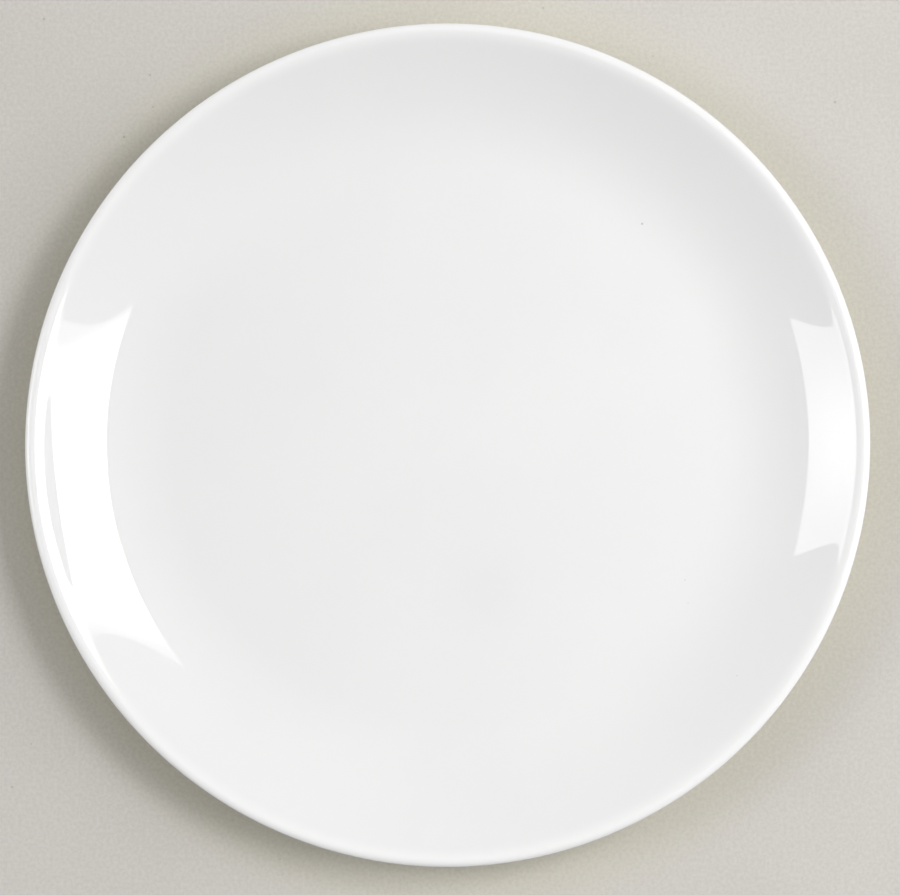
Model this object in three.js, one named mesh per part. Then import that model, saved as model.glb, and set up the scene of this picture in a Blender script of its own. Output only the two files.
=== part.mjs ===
// A coupe salad plate: one fired porcelain body and the two coats of glaze that are fused to it.
// Millimetres, +Z up. The origin is on the plate's axis, in the plane that the foot ring stands on.
import * as THREE from "three";

// Driving dimensions of the face
const RIM_DIAMETER = 210; // over the glaze
const WELL_DIAMETER = 139; // flat floor of the plate
const WALL_CURVE_ANGLE = 20; // degrees above level, where the wall's inner curve ends
const WALL_ANGLE = 28; // degrees above level, where the wall's outer curve ends
const WALL_EASING = 2.05; // times that the outer curve is wider than the inner one
const WALL_STRAIGHT = 0.8; // straight stretch between the wall's curves and the lip

// Driving dimensions of the section, on the bare body
const WALL_THICKNESS = 3.4;
const BASE_THICKNESS = 4;
const GLAZE_THICKNESS = 0.25;

// Driving dimensions of the lip, on the bare body
const LIP_SHOULDER_RADIUS = 17.5; // inner side
const LIP_CREST_RADIUS = 2; // top
const LIP_NOSE_RADIUS = 0.8; // outer edge
const LIP_SHOULDER_ANGLE = 19; // degrees above level, where the shoulder meets the crest
const LIP_CREST_ANGLE = 24; // degrees below level, where the crest meets the nose

// Driving dimensions of the foot ring, on the bare body
const FOOT_DIAMETER = 130; // outer corner of the standing face
const FOOT_WIDTH = 5;
const FOOT_HEIGHT = 3.6; // depth of the recess that the ring encloses
const FOOT_DRAFT = 12; // degrees that each side of the ring leans
const FOOT_EDGE_RADIUS = 0.9;
const FOOT_FILLET = 2;
const GLAZE_LINE = 1.3; // height at which the glaze stops on both sides of the ring

// Looks
const BARE_CLAY = { color: 0xe4e0d8, roughness: 0.85, metalness: 0 };
const WHITE_GLAZE = { color: 0xeeeeec, roughness: 0.06, metalness: 0 };

// Fineness of the round surfaces
const TURNS = 64;
const DEGREES_PER_STEP = 5;
const DEGREES_PER_TIGHT_STEP = 22;

// Sideways run of the foot ring's sides for each millimetre of height
const LEAN = Math.tan(THREE.MathUtils.degToRad(FOOT_DRAFT));

// The way that a surface faces, in degrees: 0 is outwards from the axis, 90 is up and -90 is down
function facing(angle) {
  const turn = THREE.MathUtils.degToRad(angle);
  return new THREE.Vector2(Math.cos(turn), Math.sin(turn));
}

function sine(angle) {
  return Math.sin(THREE.MathUtils.degToRad(angle));
}

function cosine(angle) {
  return Math.cos(THREE.MathUtils.degToRad(angle));
}

function moved(point, direction, distance) {
  return point.clone().addScaledVector(direction, distance);
}

// One point of an outline, as radius and height, with the way that the surface faces there
function outlinePoint(radius, height, angle) {
  return { at: new THREE.Vector2(radius, height), faces: facing(angle) };
}

// A round stretch of an outline. A hollow stretch has a negative radius.
function arc(centre, radius, fromAngle, toAngle, stepAngle) {
  const steps = Math.max(1, Math.ceil(Math.abs(toAngle - fromAngle) / stepAngle));
  const points = [];
  for (let i = 0; i <= steps; i += 1) {
    const faces = facing(fromAngle + ((toAngle - fromAngle) * i) / steps);
    points.push({ at: moved(centre, faces, radius), faces });
  }
  return points;
}

// Radii of the lip's four curves. A wall too thin for them makes them all smaller.
function lipRadii() {
  const toCrest = cosine(WALL_ANGLE + LIP_CREST_ANGLE);
  const toShoulder = cosine(WALL_ANGLE - LIP_SHOULDER_ANGLE);
  const fromShoulder = LIP_SHOULDER_RADIUS * (1 - toShoulder);
  const fromCrest = LIP_CREST_RADIUS * (toShoulder - toCrest);
  const aboveNose = fromShoulder + fromCrest + LIP_NOSE_RADIUS * toCrest;
  const shrink = Math.min(1, WALL_THICKNESS / (aboveNose + LIP_NOSE_RADIUS));
  const belowNose = WALL_THICKNESS - shrink * (aboveNose + LIP_NOSE_RADIUS * sine(WALL_ANGLE));
  return {
    shoulder: shrink * LIP_SHOULDER_RADIUS,
    crest: shrink * LIP_CREST_RADIUS,
    nose: shrink * LIP_NOSE_RADIUS,
    under: belowNose / (1 - sine(WALL_ANGLE)),
  };
}

// Distance from the start of the lip's shoulder out to the bare edge of the plate
function lipReach(radii) {
  const shoulder = radii.shoulder * (sine(WALL_ANGLE) - sine(LIP_SHOULDER_ANGLE));
  const crest = radii.crest * (sine(LIP_SHOULDER_ANGLE) + sine(LIP_CREST_ANGLE));
  return shoulder + crest + radii.nose * (1 - sine(LIP_CREST_ANGLE));
}

// Curves that follow from the driving dimensions. Neighbours touch where they face the same way.
function sectionOf() {
  const lip = lipRadii();
  const wellRadius = WELL_DIAMETER / 2;
  const floorHeight = FOOT_HEIGHT + BASE_THICKNESS;
  const lipStart = RIM_DIAMETER / 2 - GLAZE_THICKNESS - lipReach(lip);
  const wallWidth = lipStart - WALL_STRAIGHT * cosine(WALL_ANGLE) - wellRadius;
  const outerTurn = sine(WALL_ANGLE) - sine(WALL_CURVE_ANGLE);
  const innerRadius = wallWidth / (sine(WALL_CURVE_ANGLE) + WALL_EASING * outerTurn);
  const outerRadius = WALL_EASING * innerRadius;
  const wallFaces = facing(90 + WALL_ANGLE);
  const upTheWall = facing(WALL_ANGLE);
  const innerCentre = new THREE.Vector2(wellRadius, floorHeight + innerRadius);
  const outerCentre = moved(innerCentre, facing(90 + WALL_CURVE_ANGLE), outerRadius - innerRadius);
  const shoulderStart = moved(moved(outerCentre, wallFaces, -outerRadius), upTheWall, WALL_STRAIGHT);
  const shoulderCentre = moved(shoulderStart, wallFaces, -lip.shoulder);
  const crestCentre = moved(shoulderCentre, facing(90 + LIP_SHOULDER_ANGLE), lip.shoulder - lip.crest);
  const noseCentre = moved(crestCentre, facing(90 - LIP_CREST_ANGLE), lip.crest - lip.nose);
  const underCentre = moved(noseCentre, facing(0), lip.nose - lip.under);
  return {
    floorHeight,
    inner: { centre: innerCentre, radius: innerRadius },
    outer: { centre: outerCentre, radius: outerRadius },
    shoulder: { centre: shoulderCentre, radius: lip.shoulder },
    crest: { centre: crestCentre, radius: lip.crest },
    nose: { centre: noseCentre, radius: lip.nose },
    under: { centre: underCentre, radius: lip.under },
  };
}

// The fillet between the foot ring's outer side and the back of the plate, which is level under the
// well and round under the wall
function outerFillet(section) {
  const backHeight = section.floorHeight - WALL_THICKNESS;
  const room = (backHeight - GLAZE_LINE) / (1 - sine(FOOT_DRAFT));
  const radius = Math.min(FOOT_FILLET, room);
  const upTheSide = facing(90 - FOOT_DRAFT);
  const start = moved(new THREE.Vector2(FOOT_DIAMETER / 2, 0), facing(-FOOT_DRAFT), radius);
  const level = moved(start, upTheSide, (backHeight - radius - start.y) / upTheSide.y);
  if (level.x <= section.inner.centre.x) {
    return { centre: level, radius, backAngle: -90 };
  }
  const away = start.clone().sub(section.inner.centre);
  const reach = section.inner.radius + WALL_THICKNESS + radius;
  const along = away.dot(upTheSide);
  const step = -along - Math.sqrt(along * along - away.lengthSq() + reach * reach);
  const centre = moved(start, upTheSide, step);
  const toCentre = centre.clone().sub(section.inner.centre);
  return { centre, radius, backAngle: THREE.MathUtils.radToDeg(Math.atan2(toCentre.y, toCentre.x)) };
}

// From the middle of the well over the wall and the lip, to the underside of the lip
function faceOutline(section) {
  const { inner, outer, shoulder, crest, nose, under } = section;
  const curveFaces = 90 + WALL_CURVE_ANGLE;
  const wallFaces = 90 + WALL_ANGLE;
  const shoulderFaces = 90 + LIP_SHOULDER_ANGLE;
  const noseFaces = 90 - LIP_CREST_ANGLE;
  return [
    outlinePoint(0, section.floorHeight, 90),
    ...arc(inner.centre, -inner.radius, 90, curveFaces, DEGREES_PER_STEP),
    ...arc(outer.centre, -outer.radius, curveFaces, wallFaces, DEGREES_PER_STEP).slice(1),
    ...arc(shoulder.centre, shoulder.radius, wallFaces, shoulderFaces, DEGREES_PER_STEP),
    ...arc(crest.centre, crest.radius, shoulderFaces, noseFaces, DEGREES_PER_TIGHT_STEP).slice(1),
    ...arc(nose.centre, nose.radius, noseFaces, 0, DEGREES_PER_TIGHT_STEP).slice(1),
    ...arc(under.centre, under.radius, 0, WALL_ANGLE - 90, DEGREES_PER_TIGHT_STEP).slice(1),
  ];
}

// From the underside of the lip along the back, to the glaze line outside the foot ring
function backOutline(section) {
  const { inner, outer } = section;
  const fillet = outerFillet(section);
  const wallFaces = WALL_ANGLE - 90;
  const curveFaces = WALL_CURVE_ANGLE - 90;
  const lineRadius = FOOT_DIAMETER / 2 + GLAZE_LINE * LEAN;
  return [
    ...arc(outer.centre, outer.radius + WALL_THICKNESS, wallFaces, curveFaces, DEGREES_PER_STEP),
    ...arc(inner.centre, inner.radius + WALL_THICKNESS, curveFaces, fillet.backAngle, DEGREES_PER_STEP).slice(1),
    ...arc(fillet.centre, -fillet.radius, fillet.backAngle, -FOOT_DRAFT, DEGREES_PER_TIGHT_STEP),
    outlinePoint(lineRadius, GLAZE_LINE, -FOOT_DRAFT),
  ];
}

// The bare stretch of the foot ring, from its outer edge across the standing face to its inner edge
function standingOutline() {
  const inset = (FOOT_EDGE_RADIUS * (1 - sine(FOOT_DRAFT))) / cosine(FOOT_DRAFT);
  const outer = new THREE.Vector2(FOOT_DIAMETER / 2 - inset, FOOT_EDGE_RADIUS);
  const inner = new THREE.Vector2(FOOT_DIAMETER / 2 - FOOT_WIDTH + inset, FOOT_EDGE_RADIUS);
  return [
    ...arc(outer, FOOT_EDGE_RADIUS, -FOOT_DRAFT, -90, DEGREES_PER_TIGHT_STEP),
    ...arc(inner, FOOT_EDGE_RADIUS, -90, FOOT_DRAFT - 180, DEGREES_PER_TIGHT_STEP),
  ];
}

// From the glaze line inside the foot ring, up into the recess and across it to the axis
function recessOutline() {
  const sideFaces = FOOT_DRAFT - 180;
  const footRadius = FOOT_DIAMETER / 2 - FOOT_WIDTH;
  const room = (FOOT_HEIGHT - GLAZE_LINE) / (1 - sine(FOOT_DRAFT));
  const radius = Math.min(FOOT_FILLET, room);
  const touchHeight = FOOT_HEIGHT - radius * (1 - sine(FOOT_DRAFT));
  const touch = new THREE.Vector2(footRadius - touchHeight * LEAN, touchHeight);
  return [
    outlinePoint(footRadius - GLAZE_LINE * LEAN, GLAZE_LINE, sideFaces),
    ...arc(moved(touch, facing(sideFaces), radius), -radius, sideFaces, -90, DEGREES_PER_TIGHT_STEP),
    outlinePoint(0, FOOT_HEIGHT, -90),
  ];
}

function bareSide(outline) {
  return outline.map((point) => point.at);
}

function glazedSide(outline) {
  return outline.map((point) => moved(point.at, point.faces, GLAZE_THICKNESS));
}

// Turns a section about the plate's axis. The section starts on the axis, at the top, runs round the
// outside and ends on the axis.
function turned(name, section, look) {
  const fromTheBottom = [...section].reverse();
  const geometry = new THREE.LatheGeometry(fromTheBottom, TURNS);
  geometry.rotateX(Math.PI / 2);
  const mesh = new THREE.Mesh(geometry, new THREE.MeshStandardMaterial(look));
  mesh.name = name;
  return mesh;
}

function plateBody(main, recess) {
  const section = [...bareSide(main), ...bareSide(standingOutline()), ...bareSide(recess)];
  return turned("plate_body", section, BARE_CLAY);
}

function outerGlaze(main) {
  const section = [...glazedSide(main), ...bareSide(main).reverse()];
  return turned("outer_glaze", section, WHITE_GLAZE);
}

function recessGlaze(recess) {
  const section = [...bareSide(recess).reverse(), ...glazedSide(recess)];
  return turned("recess_glaze", section, WHITE_GLAZE);
}

function plate() {
  const section = sectionOf();
  const main = [...faceOutline(section), ...backOutline(section)];
  const recess = recessOutline();
  const group = new THREE.Group();
  group.add(plateBody(main, recess), outerGlaze(main), recessGlaze(recess));
  return group;
}

export default plate();
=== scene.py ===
# A coupe salad plate: porcelain under a white gloss glaze, on pale paper in soft studio light.
import math
from collections import namedtuple

import bpy
from mathutils import Matrix, Quaternion, Vector


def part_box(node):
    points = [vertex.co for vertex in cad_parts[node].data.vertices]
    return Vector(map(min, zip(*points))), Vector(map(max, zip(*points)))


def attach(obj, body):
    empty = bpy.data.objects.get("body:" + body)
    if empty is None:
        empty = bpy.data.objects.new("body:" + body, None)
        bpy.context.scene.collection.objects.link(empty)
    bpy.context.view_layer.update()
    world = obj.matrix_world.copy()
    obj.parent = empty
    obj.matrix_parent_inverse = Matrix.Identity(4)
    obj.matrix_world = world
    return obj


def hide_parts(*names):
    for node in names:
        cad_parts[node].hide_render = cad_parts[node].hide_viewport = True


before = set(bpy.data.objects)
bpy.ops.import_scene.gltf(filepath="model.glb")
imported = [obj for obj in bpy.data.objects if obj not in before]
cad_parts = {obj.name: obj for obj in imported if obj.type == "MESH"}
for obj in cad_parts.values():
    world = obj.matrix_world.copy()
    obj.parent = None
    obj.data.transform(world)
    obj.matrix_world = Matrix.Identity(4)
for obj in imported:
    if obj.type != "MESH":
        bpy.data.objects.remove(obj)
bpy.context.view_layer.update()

MM = 0.001

# Face of the plate
RIM_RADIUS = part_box("outer_glaze")[1].x  # over the glaze
WELL_RADIUS = 69.5 * MM
WALL_CURVE_ANGLE = 20  # degrees above level, where the wall's inner curve ends
WALL_ANGLE = 28  # degrees above level, where the wall's outer curve ends
WALL_EASING = 2.05  # times that the outer curve is wider than the inner one
WALL_STRAIGHT = 0.8 * MM

# Section of the bare body, and the glaze on it
WALL_THICKNESS = 3.4 * MM
BASE_THICKNESS = 4 * MM
GLAZE_THICKNESS = 0.25 * MM

# Lip of the bare body
LIP_SHOULDER_RADIUS = 17.5 * MM
LIP_CREST_RADIUS = 2 * MM
LIP_NOSE_RADIUS = 0.8 * MM
LIP_SHOULDER_ANGLE = 19  # degrees above level, where the shoulder meets the crest
LIP_CREST_ANGLE = 24  # degrees below level, where the crest meets the nose

# Foot ring of the bare body
FOOT_RADIUS = 65 * MM  # outer corner of the standing face
FOOT_WIDTH = 5 * MM
FOOT_HEIGHT = 3.6 * MM
FOOT_DRAFT = 12  # degrees that each side of the ring leans
FOOT_EDGE_RADIUS = 0.9 * MM
FOOT_FILLET = 2 * MM
GLAZE_LINE = 1.3 * MM  # height at which the glaze stops on both sides of the ring

# Small unevenness of fired porcelain
RIM_SAG_LEAST = 0.02 * MM  # how far the rim dips at its highest
RIM_SAG_MOST = 0.2 * MM  # how far the rim dips at its lowest
RIPPLE_HEIGHT = 0.03 * MM  # turning marks in the recess
RIPPLE_SPACING = 5.5 * MM
GLAZE_LINE_WAVES = ((3, 0.10 * MM, 0.4), (7, 0.06 * MM, 1.9), (13, 0.04 * MM, 0.8))  # count, height, phase

# Fineness of the meshes
TURNS = 256
DEGREES_PER_STEP = 1
DEGREES_PER_TIGHT_STEP = 6
DEGREES_PER_EDGE_STEP = 18
FLAT_RING_WIDTH = 9 * MM
RIPPLE_RING_WIDTH = 0.9 * MM

# Image of the photograph, in pixels
IMAGE_WIDTH, IMAGE_HEIGHT = 900, 895
PLATE_CENTRE_PX = (447.68, 445.16)
PLATE_RADIUS_PX = 422.3

# Camera
CAMERA_PLACE = Vector((0.011, -0.037, 0.70))
CAMERA_TARGET = Vector((0, 0, 0.0171))  # middle of the rim's widest circle
SENSOR_WIDTH = 36  # millimetres, as Blender's camera takes it

# Glaze
GLAZE_WHITE = (0.846, 0.8435, 0.843)
GLAZE_SHADE = (0.833, 0.8325, 0.833)
GLAZE_TONE_SIZE = 45 * MM  # blotches of white and shade
LIP_PAINTED_GLOW = (0.895, 0.8925, 0.89)  # painted glow: the glaze is painted paler at the thin lip, for light that comes through the porcelain
LIP_GLOW_START = 100.2 * MM  # radius at which the painted glow at the lip starts
LIP_GLOW_END = 103.6 * MM
GLAZE_POOL = (0.78, 0.80, 0.80)  # thick glaze by the foot
POOL_SHARE = 0.6
POOL_TOP = 5 * MM  # height below which the glaze grows thicker
POOL_FULL = 2 * MM
GLAZE_HAZE_SIZE = 12 * MM  # patches of lower gloss
GLAZE_ROUGHNESS = (0.015, 0.03)
GLAZE_WAVE_SIZE = 16 * MM
GLAZE_WAVE_DEPTH = 0.02 * MM
GLAZE_SKIN_SIZE = 1.5 * MM  # fine unevenness, like that of a peel
GLAZE_SKIN_DEPTH = 0.0004 * MM
GLAZE_IOR = 1.52

# Bare porcelain of the foot ring
BISQUE_PALE = (0.80, 0.775, 0.735)
BISQUE_DARK = (0.72, 0.69, 0.645)
BISQUE_CLOUD_SIZE = 6 * MM
BISQUE_GRAIN_SIZE = 0.25 * MM
BISQUE_GRAIN_DEPTH = 0.03 * MM
BISQUE_ROUGHNESS = (0.75, 0.95)
FOOT_GREY = (0.60, 0.582, 0.553)
RUB_TOP = 0.3 * MM  # height up to which the ring has rubbed on tables
RUB_FULL = 0.05 * MM
RUB_SIZE = 2.5 * MM

# Paper
PAPER_PALE = (0.640, 0.618, 0.581)
PAPER_DARK = (0.575, 0.553, 0.517)
PAPER_CLOUD_SIZE = 60 * MM
PAPER_GRAIN_SIZE = 0.9 * MM
PAPER_GRAIN_DEPTH = 0.03 * MM
PAPER_GRAIN_SHARE = 0.75  # of the tone; the clouds give the rest
PAPER_PAINTED_SHADE = (1.0, 0.995, 0.92)  # painted warm shade around the plate
PAINTED_SHADE_INSIDE = 107 * MM  # radius inside which the painted shade is full
PAINTED_SHADE_OUTSIDE = 125 * MM
PAPER_ROUGHNESS = 0.9
PAPER_SPECULAR = 0.2
PAPER_REACH = 4.0  # metres from the plate's axis to each edge

# Ranges of the noise that are stretched over the whole of a tone, a gloss or a wear
TONE_RANGE = (0.35, 0.65)
HAZE_RANGE = (0.4, 0.75)
RUB_RANGE = (0.45, 0.65)
GRAIN_RANGE = (0.3, 0.7)

# Dark specks: their places in the photograph, in pixels, and their radii
SPECK_COLOUR = (0.35, 0.32, 0.28)
SPECK_SHARE = 0.6  # how strongly these specks show
GLAZE_SPECKS_PX = ((642, 224, 0.38 * MM), (685, 580, 0.2 * MM), (688, 603, 0.17 * MM), (735, 675, 0.17 * MM))
PAPER_SPECKS_PX = (
    (44, 19, 0.5 * MM), (835, 102, 0.5 * MM), (124, 137, 0.5 * MM), (543, 8, 0.4 * MM),
    (12, 787, 0.4 * MM), (150, 75, 0.4 * MM), (153, 107, 0.35 * MM), (280, 859, 0.3 * MM),
    (653, 56, 0.3 * MM), (31, 744, 0.3 * MM),
)

# Iron specks scattered in the thick glaze by the foot
IRON_SPACING = 4 * MM
IRON_RADIUS = 0.22 * MM
IRON_SHARE = 0.05  # how many of the places have a speck

# Light of the room, where 1 is white: even, with soft glows, and with the dark of the camera overhead
ROOM_EVEN = 0.19
ROOM_GLOWS = (  # azimuth, elevation, strength, power; the last one takes light away, for a dark front
    (0, 90, 0.226, 20), (0, 45, 0.741, 10), (45, 45, 0.066, 10),
    (135, 5, 0.534, 10), (180, 5, 0.973, 10), (270, 45, -0.211, 10),
)
CAMERA_DARK_INSIDE = 0.004  # sine of the angle from straight up
CAMERA_DARK_OUTSIDE = 0.016

# Lamps: cloth boxes that face the plate, in metres and degrees, with light that is 1 for white
RIGHT_SOFTBOX = dict(
    azimuth=12.3, elevation=56.97, distance=0.95, width=0.484, height=0.2505, roll=-4.9,
    middle=11.1, ends=2.0, even=0.33, top_bow=0.12, bottom_bow=0.06, slant=0.1,
)
LEFT_SOFTBOX = dict(
    azimuth=176.5, elevation=45.3, distance=1.7, width=0.644, height=0.553, roll=3.4,
    middle=5.6, ends=3.3, fall=0.6, top_bow=0.04, bottom_bow=0.04,
)
LOW_SOFTBOX = dict(azimuth=0, elevation=30, distance=1.1, width=0.8, height=0.4, middle=2.96, ends=2.96)
SHEET_ROOM = 2.5  # times the top bow that a sheet of light is higher than its box, to hold the corners

Point = namedtuple("Point", "at faces slide")
STILL = Vector((0, 0))


def sine(angle):
    return math.sin(math.radians(angle))


def cosine(angle):
    return math.cos(math.radians(angle))


def facing(angle):
    """The way that a surface faces in the section: 0 degrees is outwards, 90 is up and -90 is down"""
    return Vector((cosine(angle), sine(angle)))


def point(radius, height, angle, slide=STILL):
    return Point(Vector((radius, height)), facing(angle), slide)


def arc(centre, radius, start, end, step, slide=STILL):
    """A round stretch of the section; a hollow one has a negative radius"""
    count = max(1, math.ceil(abs(end - start) / step))
    angles = [start + (end - start) * i / count for i in range(count + 1)]
    return [Point(centre + radius * facing(angle), facing(angle), slide) for angle in angles]


def level(from_radius, to_radius, height, angle, width):
    """A level stretch of the section, with a point every width or so, without its first point"""
    count = math.ceil(abs(to_radius - from_radius) / width)
    radii = [from_radius + (to_radius - from_radius) * i / count for i in range(1, count + 1)]
    return [point(radius, height, angle) for radius in radii]


def direction(azimuth, elevation):
    return Vector((cosine(elevation) * cosine(azimuth), cosine(elevation) * sine(azimuth), sine(elevation)))


def framing():
    """The camera's turn, focal length in pixels and axis in the picture, as the photograph has them"""
    forward = (CAMERA_TARGET - CAMERA_PLACE).normalized()
    across = forward.cross(Vector((0, 1, 0))).normalized()
    turn = Matrix((across, across.cross(forward), -forward)).transposed()
    rim = [CAMERA_TARGET + RIM_RADIUS * Vector((cosine(a), sine(a), 0)) for a in range(360)]
    seen = [turn.transposed() @ (at - CAMERA_PLACE) for at in rim]
    left_to_right = sorted(-at.x / at.z for at in seen)
    low_to_high = sorted(-at.y / at.z for at in seen)
    width = left_to_right[-1] - left_to_right[0]
    height = low_to_high[-1] - low_to_high[0]
    focal_px = 4 * PLATE_RADIUS_PX / (width + height)  # each shows two radii
    axis_x = PLATE_CENTRE_PX[0] - focal_px * (left_to_right[0] + width / 2)
    axis_y = PLATE_CENTRE_PX[1] + focal_px * (low_to_high[0] + height / 2)
    return turn, focal_px, axis_x, axis_y


def under_pixel(across, down, height):
    """The place at a height over the floor that the photograph shows at a pixel"""
    turn, focal_px, axis_x, axis_y = framing()
    ray = turn @ Vector((across - axis_x, axis_y - down, -focal_px))
    return (CAMERA_PLACE + ray * (height - CAMERA_PLACE.z) / ray.z).xy


def lip_under_radius():
    """Radius of the lip's lower curve, which takes up what the other curves leave of the wall"""
    to_crest = cosine(WALL_ANGLE + LIP_CREST_ANGLE)
    to_shoulder = cosine(WALL_ANGLE - LIP_SHOULDER_ANGLE)
    shoulder = LIP_SHOULDER_RADIUS * (1 - to_shoulder)
    crest = LIP_CREST_RADIUS * (to_shoulder - to_crest)
    nose = LIP_NOSE_RADIUS * (to_crest + sine(WALL_ANGLE))
    return (WALL_THICKNESS - shoulder - crest - nose) / (1 - sine(WALL_ANGLE))


def lip_reach():
    """Distance from the start of the lip's shoulder out to the bare edge of the plate"""
    shoulder = LIP_SHOULDER_RADIUS * (sine(WALL_ANGLE) - sine(LIP_SHOULDER_ANGLE))
    crest = LIP_CREST_RADIUS * (sine(LIP_SHOULDER_ANGLE) + sine(LIP_CREST_ANGLE))
    return shoulder + crest + LIP_NOSE_RADIUS * (1 - sine(LIP_CREST_ANGLE))


def wall_curves():
    """Centres and radii of the wall's inner and outer curve, on the face of the bare body"""
    lip_start = RIM_RADIUS - GLAZE_THICKNESS - lip_reach()
    width = lip_start - WALL_STRAIGHT * cosine(WALL_ANGLE) - WELL_RADIUS
    outer_turn = sine(WALL_ANGLE) - sine(WALL_CURVE_ANGLE)
    inner_radius = width / (sine(WALL_CURVE_ANGLE) + WALL_EASING * outer_turn)
    outer_radius = WALL_EASING * inner_radius
    inner_centre = Vector((WELL_RADIUS, FOOT_HEIGHT + BASE_THICKNESS + inner_radius))
    outer_centre = inner_centre + (outer_radius - inner_radius) * facing(90 + WALL_CURVE_ANGLE)
    return (inner_centre, inner_radius), (outer_centre, outer_radius)


def face_outline():
    """From the middle of the well over the wall and the lip, to the underside of the lip"""
    (inner_centre, inner_radius), (outer_centre, outer_radius) = wall_curves()
    floor_height = FOOT_HEIGHT + BASE_THICKNESS
    curve_faces = 90 + WALL_CURVE_ANGLE
    wall_faces = 90 + WALL_ANGLE
    shoulder_faces = 90 + LIP_SHOULDER_ANGLE
    nose_faces = 90 - LIP_CREST_ANGLE
    wall_end = outer_centre - outer_radius * facing(wall_faces)
    shoulder_start = wall_end + WALL_STRAIGHT * facing(WALL_ANGLE)
    shoulder = shoulder_start - LIP_SHOULDER_RADIUS * facing(wall_faces)
    crest = shoulder + (LIP_SHOULDER_RADIUS - LIP_CREST_RADIUS) * facing(shoulder_faces)
    nose = crest + (LIP_CREST_RADIUS - LIP_NOSE_RADIUS) * facing(nose_faces)
    under_radius = lip_under_radius()
    under = nose + (LIP_NOSE_RADIUS - under_radius) * facing(0)
    return [
        point(0, floor_height, 90),
        *level(0, WELL_RADIUS, floor_height, 90, FLAT_RING_WIDTH),
        *arc(inner_centre, -inner_radius, 90, curve_faces, DEGREES_PER_STEP)[1:],
        *arc(outer_centre, -outer_radius, curve_faces, wall_faces, DEGREES_PER_STEP)[1:],
        *arc(shoulder, LIP_SHOULDER_RADIUS, wall_faces, shoulder_faces, DEGREES_PER_STEP),
        *arc(crest, LIP_CREST_RADIUS, shoulder_faces, nose_faces, DEGREES_PER_TIGHT_STEP)[1:],
        *arc(nose, LIP_NOSE_RADIUS, nose_faces, 0, DEGREES_PER_TIGHT_STEP)[1:],
        *arc(under, under_radius, 0, WALL_ANGLE - 90, DEGREES_PER_TIGHT_STEP)[1:],
    ]


def back_outline():
    """From the underside of the lip along the back, to the glaze line outside the foot ring"""
    (inner_centre, inner_radius), (outer_centre, outer_radius) = wall_curves()
    wall_faces = WALL_ANGLE - 90
    curve_faces = WALL_CURVE_ANGLE - 90
    back_height = FOOT_HEIGHT + BASE_THICKNESS - WALL_THICKNESS
    up_the_side = facing(90 - FOOT_DRAFT)
    start = Vector((FOOT_RADIUS, 0)) + FOOT_FILLET * facing(-FOOT_DRAFT)
    fillet = start + up_the_side * (back_height - FOOT_FILLET - start.y) / up_the_side.y
    line = Vector((FOOT_RADIUS, 0)) + up_the_side * GLAZE_LINE / up_the_side.y
    return [
        *arc(outer_centre, outer_radius + WALL_THICKNESS, wall_faces, curve_faces, DEGREES_PER_STEP)[1:],
        *arc(inner_centre, inner_radius + WALL_THICKNESS, curve_faces, -90, DEGREES_PER_STEP)[1:],
        *arc(fillet, -FOOT_FILLET, -90, -FOOT_DRAFT, DEGREES_PER_TIGHT_STEP),
        point(line.x, line.y, -FOOT_DRAFT, up_the_side),
    ]


def standing_outline():
    """The bare stretch of the foot ring, from its outer edge across the standing face to its inner edge"""
    inset = FOOT_EDGE_RADIUS * (1 - sine(FOOT_DRAFT)) / cosine(FOOT_DRAFT)
    outer = Vector((FOOT_RADIUS - inset, FOOT_EDGE_RADIUS))
    inner = Vector((FOOT_RADIUS - FOOT_WIDTH + inset, FOOT_EDGE_RADIUS))
    return [
        *arc(outer, FOOT_EDGE_RADIUS, -FOOT_DRAFT, -90, DEGREES_PER_TIGHT_STEP),
        *arc(inner, FOOT_EDGE_RADIUS, -90, FOOT_DRAFT - 180, DEGREES_PER_TIGHT_STEP),
    ]


def recess_outline():
    """From the glaze line inside the foot ring, up into the recess and across its rippled floor"""
    side_faces = FOOT_DRAFT - 180
    up_the_side = facing(90 + FOOT_DRAFT)
    foot = Vector((FOOT_RADIUS - FOOT_WIDTH, 0))
    line = foot + up_the_side * GLAZE_LINE / up_the_side.y
    touch_height = FOOT_HEIGHT - FOOT_FILLET * (1 - sine(FOOT_DRAFT))
    touch = foot + up_the_side * touch_height / up_the_side.y
    fillet = touch + FOOT_FILLET * facing(side_faces)
    floor = level(fillet.x, 0, FOOT_HEIGHT, -90, RIPPLE_RING_WIDTH)
    return [
        point(line.x, line.y, side_faces, up_the_side),
        *arc(fillet, -FOOT_FILLET, side_faces, -90, DEGREES_PER_TIGHT_STEP),
        *[p._replace(at=p.at + ripple(p.at.x, fillet.x) * p.faces) for p in floor],
    ]


def ripple(radius, edge):
    """Depth of the turning marks at a radius of the recess; they fade out towards its edge"""
    fade = min(1, (edge - radius) / RIPPLE_SPACING)
    return RIPPLE_HEIGHT * fade * (1 - math.cos(2 * math.pi * radius / RIPPLE_SPACING)) / 2


def glazed(outline):
    """The outline of a coat of glaze on an outline of the body"""
    return [p._replace(at=p.at + GLAZE_THICKNESS * p.faces) for p in outline]


def rolled_edge(line, from_angle, to_angle):
    """The round edge in which a coat of glaze ends at its line on the foot ring"""
    centre = line.at + GLAZE_THICKNESS * line.slide
    return arc(centre, GLAZE_THICKNESS, from_angle, to_angle, DEGREES_PER_EDGE_STEP, line.slide)


def wander(turn):
    """How far the hand-wiped glaze line strays along the foot ring's side"""
    return sum(height * math.sin(count * turn + phase) for count, height, phase in GLAZE_LINE_WAVES)


def sag(radius, turn):
    """How far the fired rim has dipped, which is nothing inside the foot ring"""
    share = max(0, (radius - FOOT_RADIUS) / (RIM_RADIUS - FOOT_RADIUS))
    return share * share * (RIM_SAG_LEAST + (RIM_SAG_MOST - RIM_SAG_LEAST) * math.sin(turn) ** 2)


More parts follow.
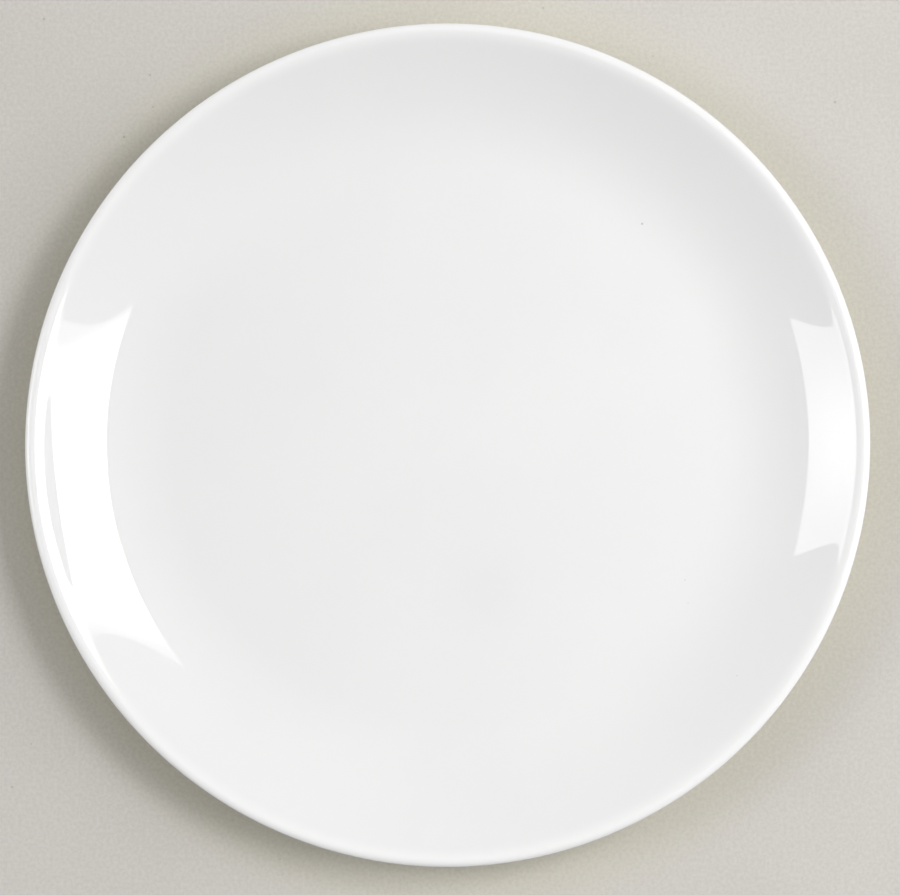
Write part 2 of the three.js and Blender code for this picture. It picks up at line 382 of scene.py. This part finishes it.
def turned_point(p, turn):
    """A point of the section at a turn about the plate's axis, with its wander and sag"""
    at = p.at + wander(turn) * p.slide
    return (at.x * math.cos(turn), at.x * math.sin(turn), at.y - sag(at.x, turn))


def placed(name, data):
    """A new object in the scene"""
    made = bpy.data.objects.new(name, data)
    bpy.context.scene.collection.objects.link(made)
    return made


def turned(name, outline, material):
    """A closed mesh: the outline turned about the plate's axis, on which it starts, at the top, and ends"""
    rings = outline[1:-1]
    turns = [2 * math.pi * k / TURNS for k in range(TURNS)]
    vertices = [turned_point(outline[0], 0)]
    for ring in rings:
        vertices += [turned_point(ring, turn) for turn in turns]
    vertices.append(turned_point(outline[-1], 0))
    last = len(vertices) - 1
    last_ring = last - TURNS
    faces = []
    for k in range(TURNS):
        n = (k + 1) % TURNS
        faces.append((0, 1 + k, 1 + n))
        for row in range(1, last_ring, TURNS):
            faces.append((row + k, row + TURNS + k, row + TURNS + n, row + n))
        faces.append((last, last_ring + n, last_ring + k))
    mesh = bpy.data.meshes.new(name)
    mesh.from_pydata(vertices, [], faces)
    mesh.polygons.foreach_set("use_smooth", [True] * len(faces))
    mesh.materials.append(material)
    return placed(name, mesh)


class Nodes:
    """Short ways to add shader nodes to a tree; a value is a number, a colour or another node's output"""

    def __init__(self, tree):
        self.tree = tree

    def add(self, kind, inputs, **settings):
        node = self.tree.nodes.new("ShaderNode" + kind)
        for name, value in settings.items():
            setattr(node, name, value)
        for key, value in inputs.items():
            self.feed(node.inputs[key], value)
        return node

    def feed(self, socket, value):
        if isinstance(value, bpy.types.NodeSocket):
            self.tree.links.new(value, socket)
        elif socket.type == "RGBA":
            socket.default_value = (*value, 1)
        else:
            socket.default_value = value

    def place(self):
        """The object's own coordinates, in metres"""
        return self.add("TexCoord", {}).outputs["Object"]

    def maths(self, operation, first, second=0.0):
        return self.add("Math", {0: first, 1: second}, operation=operation).outputs[0]

    def line(self, value, slope, start):
        """A value times a slope, plus a start"""
        return self.add("Math", {0: value, 1: slope, 2: start}, operation="MULTIPLY_ADD").outputs[0]

    def vectors(self, operation, first, second, output=0):
        return self.add("VectorMath", {0: first, 1: second}, operation=operation).outputs[output]

    def parts(self, vector):
        return self.add("SeparateXYZ", {0: vector}).outputs

    def flat(self, vector):
        """The vector without its height"""
        return self.vectors("MULTIPLY", vector, (1, 1, 0))

    def from_axis(self, vector):
        """Distance from the plate's axis"""
        return self.vectors("DISTANCE", self.flat(vector), (0, 0, 0), "Value")

    def noise(self, vector, size, detail=2, roughness=0.5):
        """Cloudy noise from 0 to 1, with blotches about as large as size"""
        inputs = {"Vector": vector, "Scale": 1 / size, "Detail": detail, "Roughness": roughness}
        return self.add("TexNoise", inputs).outputs["Fac"]

    def spread(self, value, low, high, to_low=0.0, to_high=1.0):
        """The value's range from low to high, eased on to another range"""
        inputs = {"Value": value, "From Min": low, "From Max": high, "To Min": to_low, "To Max": to_high}
        return self.add("MapRange", inputs, interpolation_type="SMOOTHSTEP").outputs["Result"]

    def mix(self, share, first, second, blend="MIX"):
        """One colour from two: the Mix node has its colours at inputs 6 and 7 and at output 2"""
        inputs = {0: share, 6: first, 7: second}
        return self.add("Mix", inputs, data_type="RGBA", blend_type=blend).outputs[2]

    def specks(self, vector, spacing, radius, share, core=0.4):
        """1 in the core of scattered round specks and 0 outside; share is how many places have a speck"""
        cells = self.add("TexVoronoi", {"Vector": vector, "Scale": 1 / spacing})
        near = self.spread(cells.outputs["Distance"], radius / spacing, core * radius / spacing)
        chosen = self.maths("LESS_THAN", self.parts(cells.outputs["Color"])[0], share)
        return self.maths("MULTIPLY", near, chosen)

    def spots(self, vector, places, core=0.3):
        """1 in the core of round spots and 0 outside; a place is x, y and radius, the same at every height"""
        flat = self.flat(vector)
        nearest = 1.0
        for x, y, radius in places:
            away = self.vectors("DISTANCE", flat, (x, y, 0), "Value")
            nearest = self.maths("MINIMUM", nearest, self.maths("DIVIDE", away, radius))
        return self.spread(nearest, 1.0, core)

    def bump(self, height, depth, under=None):
        """A normal for a height from 0 to 1 that stands for that depth in metres"""
        inputs = {"Height": height, "Distance": depth}
        if under:
            inputs["Normal"] = under
        return self.add("Bump", inputs).outputs["Normal"]


def new_material(name):
    material = bpy.data.materials.new(name)
    material.use_nodes = True
    return material, Nodes(material.node_tree), material.node_tree.nodes["Principled BSDF"].inputs


def glaze_specks(nodes, place, pool):
    """Strength of the specks in the glaze: some on the plate's face, and iron in the pool by the foot"""
    face = FOOT_HEIGHT + BASE_THICKNESS
    spots = nodes.spots(place, [(*under_pixel(x, y, face), radius) for x, y, radius in GLAZE_SPECKS_PX])
    on_face = nodes.maths("GREATER_THAN", nodes.parts(place)[2], face)
    spots = nodes.maths("MULTIPLY", nodes.maths("MULTIPLY", spots, on_face), SPECK_SHARE)
    iron = nodes.maths("MULTIPLY", nodes.specks(place, IRON_SPACING, IRON_RADIUS, IRON_SHARE), pool)
    return nodes.maths("MAXIMUM", iron, spots)


def glaze_material():
    """White gloss glaze: uneven in tone, with a painted glow at the lip, thick and cool by the foot, with a
    few specks
    """
    material, nodes, shader = new_material("white_gloss_glaze")
    place = nodes.place()
    tone = nodes.spread(nodes.noise(place, GLAZE_TONE_SIZE), *TONE_RANGE)
    colour = nodes.mix(tone, GLAZE_WHITE, GLAZE_SHADE)
    # painted glow: a paler colour at the lip stands in for light through the thin porcelain
    lip = nodes.spread(nodes.from_axis(place), LIP_GLOW_START, LIP_GLOW_END)
    colour = nodes.mix(lip, colour, LIP_PAINTED_GLOW)
    pool = nodes.spread(nodes.parts(place)[2], POOL_TOP, POOL_FULL, 0, POOL_SHARE)
    colour = nodes.mix(pool, colour, GLAZE_POOL)
    nodes.feed(shader["Base Color"], nodes.mix(glaze_specks(nodes, place, pool), colour, SPECK_COLOUR))
    haze = nodes.noise(place, GLAZE_HAZE_SIZE, detail=4, roughness=0.6)
    nodes.feed(shader["Roughness"], nodes.spread(haze, *HAZE_RANGE, *GLAZE_ROUGHNESS))
    waves = nodes.bump(nodes.noise(place, GLAZE_WAVE_SIZE, detail=1), GLAZE_WAVE_DEPTH)
    nodes.feed(shader["Normal"], nodes.bump(nodes.noise(place, GLAZE_SKIN_SIZE), GLAZE_SKIN_DEPTH, waves))
    shader["IOR"].default_value = GLAZE_IOR
    return material


def bisque_material():
    """Bare fired porcelain: matt, finely grained, grey where it has rubbed on tables"""
    material, nodes, shader = new_material("bare_porcelain")
    place = nodes.place()
    cloud = nodes.spread(nodes.noise(place, BISQUE_CLOUD_SIZE, detail=4), *TONE_RANGE)
    colour = nodes.mix(cloud, BISQUE_PALE, BISQUE_DARK)
    low = nodes.spread(nodes.parts(place)[2], RUB_TOP, RUB_FULL)
    rubbed = nodes.spread(nodes.noise(place, RUB_SIZE, detail=5, roughness=0.7), *RUB_RANGE)
    nodes.feed(shader["Base Color"], nodes.mix(nodes.maths("MULTIPLY", low, rubbed), colour, FOOT_GREY))
    grain = nodes.noise(place, BISQUE_GRAIN_SIZE, detail=3, roughness=0.7)
    nodes.feed(shader["Roughness"], nodes.spread(grain, *GRAIN_RANGE, *BISQUE_ROUGHNESS))
    nodes.feed(shader["Normal"], nodes.bump(grain, BISQUE_GRAIN_DEPTH))
    return material


def paper_material():
    """Pale warm grey paper with a fine grain and a few dark fibres, and painted warm shade around the plate
    """
    material, nodes, shader = new_material("pale_paper")
    place = nodes.place()
    cloud = nodes.noise(place, PAPER_CLOUD_SIZE, detail=3)
    grain = nodes.noise(place, PAPER_GRAIN_SIZE, detail=4, roughness=0.65)
    tone = nodes.line(cloud, 1 - PAPER_GRAIN_SHARE, nodes.maths("MULTIPLY", grain, PAPER_GRAIN_SHARE))
    colour = nodes.mix(nodes.spread(tone, *TONE_RANGE), PAPER_PALE, PAPER_DARK)
    # painted shade: the paper is painted warmer and a little darker around the plate
    near = nodes.spread(nodes.from_axis(place), PAINTED_SHADE_OUTSIDE, PAINTED_SHADE_INSIDE)
    colour = nodes.mix(near, colour, PAPER_PAINTED_SHADE, "MULTIPLY")
    spots = nodes.spots(place, [(*under_pixel(x, y, 0), radius) for x, y, radius in PAPER_SPECKS_PX])
    spots = nodes.maths("MULTIPLY", spots, SPECK_SHARE)
    nodes.feed(shader["Base Color"], nodes.mix(spots, colour, SPECK_COLOUR))
    nodes.feed(shader["Normal"], nodes.bump(grain, PAPER_GRAIN_DEPTH))
    shader["Roughness"].default_value = PAPER_ROUGHNESS
    shader["Specular IOR Level"].default_value = PAPER_SPECULAR
    return material


def plate_body(material):
    main = [*face_outline(), *back_outline()]
    piece = turned("porcelain_body", [*main, *standing_outline(), *recess_outline()], material)
    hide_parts("plate_body")
    return piece


def outer_glaze(material):
    main = [*face_outline(), *back_outline()]
    edge = rolled_edge(main[-1], -FOOT_DRAFT, -FOOT_DRAFT - 90)
    piece = turned("outer_glaze_coat", [*glazed(main[:-1]), *edge, *reversed(main[:-1])], material)
    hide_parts("outer_glaze")
    return piece


def recess_glaze(material):
    recess = recess_outline()
    edge = rolled_edge(recess[0], FOOT_DRAFT - 90, FOOT_DRAFT - 180)
    piece = turned("recess_glaze_coat", [*reversed(recess[1:]), *edge, *glazed(recess[1:])], material)
    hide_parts("recess_glaze")
    return piece


def paper_floor(material):
    """A wide sheet of paper under the foot ring"""
    corners = [(x * PAPER_REACH, y * PAPER_REACH, 0) for x, y in ((-1, -1), (1, -1), (1, 1), (-1, 1))]
    mesh = bpy.data.meshes.new("paper_floor")
    mesh.from_pydata(corners, [], [(0, 1, 2, 3)])
    mesh.materials.append(material)
    floor = placed("paper_floor", mesh)


def camera():
    """Looks down on the plate, with +Y up in the picture, and frames the plate as the photograph does"""
    data = bpy.data.cameras.new("camera")
    made = placed("camera", data)
    turn, focal_px, axis_x, axis_y = framing()
    made.matrix_world = Matrix.Translation(CAMERA_PLACE) @ turn.to_4x4()
    data.sensor_width = SENSOR_WIDTH
    data.lens = focal_px / IMAGE_WIDTH * SENSOR_WIDTH
    data.shift_x = (IMAGE_WIDTH / 2 - axis_x) / IMAGE_WIDTH
    data.shift_y = (axis_y - IMAGE_HEIGHT / 2) / IMAGE_WIDTH
    bpy.context.scene.camera = made


def softbox_cut(nodes, across, up, top_bow, bottom_bow, slant):
    """1 inside a softbox and 0 outside; across and up are 0 in its middle and 0.5 at a straight end or side

    A bow is how far the corners stand out from a long side, and slant leans the end where across is negative.
    """
    across_square = nodes.maths("MULTIPLY", across, across)  # a quarter at the ends, so 4 times it is 1 there
    up_square = nodes.maths("MULTIPLY", up, up)
    top = nodes.line(across_square, 4 * top_bow, 0.5)
    bottom = nodes.line(across_square, -4 * bottom_bow, -0.5)
    end = nodes.line(up_square, top_bow, 0.5)
    slanted_end = nodes.line(up, slant, nodes.line(up_square, -top_bow, -0.5))
    below_top = nodes.maths("LESS_THAN", up, top)
    over_bottom = nodes.maths("GREATER_THAN", up, bottom)
    before_end = nodes.maths("LESS_THAN", across, end)
    after_end = nodes.maths("GREATER_THAN", across, slanted_end)
    between_sides = nodes.maths("MULTIPLY", below_top, over_bottom)
    between_ends = nodes.maths("MULTIPLY", before_end, after_end)
    return nodes.maths("MULTIPLY", between_sides, between_ends)


def softbox_light(nodes, across, up, middle, ends, even, fall):
    """Light of a softbox, which fades from its middle to its ends outside an even part

    Fall is how much the distance up or down counts in the fading, next to the distance across.
    """
    along = nodes.maths("MULTIPLY", across, across)
    aside = nodes.maths("MULTIPLY", up, up)
    off_middle = nodes.maths("SQRT", nodes.line(aside, fall * fall, along))
    return nodes.spread(off_middle, even, 0.5, middle, ends)


def softbox(name, azimuth, elevation, distance, width, height, middle, ends,
            roll=0, even=0.0, fall=0.0, top_bow=0.0, bottom_bow=0.0, slant=0.0):
    """A cloth box lamp that faces the plate: a sheet of light, cut to the box's outline"""
    data = bpy.data.lights.new(name, "AREA")
    data.shape = "RECTANGLE"
    data.size = width * (1 + top_bow + slant)
    data.size_y = height * (1 + SHEET_ROOM * top_bow)
    data.energy = math.pi * data.size * data.size_y  # a strength of 1 in the nodes is then white
    data.use_nodes = True
    nodes = Nodes(data.node_tree)
    across, up, _ = nodes.parts(nodes.add("NewGeometry", {}).outputs["Parametric"])
    across = nodes.maths("MULTIPLY", nodes.maths("SUBTRACT", across, 0.5), data.size / width)
    up = nodes.maths("MULTIPLY", nodes.maths("SUBTRACT", up, 0.5), data.size_y / height)
    light = softbox_light(nodes, across, up, middle, ends, even, fall)
    cut = softbox_cut(nodes, across, up, top_bow, bottom_bow, slant)
    nodes.feed(data.node_tree.nodes["Emission"].inputs["Strength"], nodes.maths("MULTIPLY", light, cut))
    lamp = placed(name, data)
    lamp.location = distance * direction(azimuth, elevation)
    aim = (CAMERA_TARGET - lamp.location).to_track_quat("-Z", "Y")
    lamp.rotation_euler = (aim @ Quaternion((0, 0, 1), math.radians(roll))).to_euler()


def sky():
    """Soft light from the room, uneven by its glows; where the camera sees it, it is as pale as the paper"""
    world = bpy.data.worlds.new("room_light")
    world.use_nodes = True
    bpy.context.scene.world = world
    nodes = Nodes(world.node_tree)
    towards = nodes.add("TexCoord", {}).outputs["Generated"]
    light = ROOM_EVEN
    for azimuth, elevation, strength, power in ROOM_GLOWS:
        along = nodes.vectors("DOT_PRODUCT", towards, direction(azimuth, elevation), "Value")
        near = nodes.line(along, 0.5, 0.5)
        light = nodes.line(nodes.maths("POWER", near, power), strength, light)
    camera_dark = nodes.spread(nodes.from_axis(towards), CAMERA_DARK_INSIDE, CAMERA_DARK_OUTSIDE)
    light = nodes.maths("MULTIPLY", light, camera_dark)
    seen = nodes.add("LightPath", {}).outputs["Is Camera Ray"]
    background = world.node_tree.nodes["Background"].inputs
    nodes.feed(background["Color"], nodes.mix(seen, (1, 1, 1), PAPER_PALE))
    nodes.feed(background["Strength"], nodes.spread(seen, 0, 1, light, 1))


camera()
bpy.context.scene.view_settings.view_transform = "Standard"
sky()
softbox("right_softbox", **RIGHT_SOFTBOX)
softbox("left_softbox", **LEFT_SOFTBOX)
softbox("low_softbox", **LOW_SOFTBOX)
paper_floor(paper_material())
glaze = glaze_material()
for piece in (plate_body(bisque_material()), outer_glaze(glaze), recess_glaze(glaze)):
    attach(piece, "root")
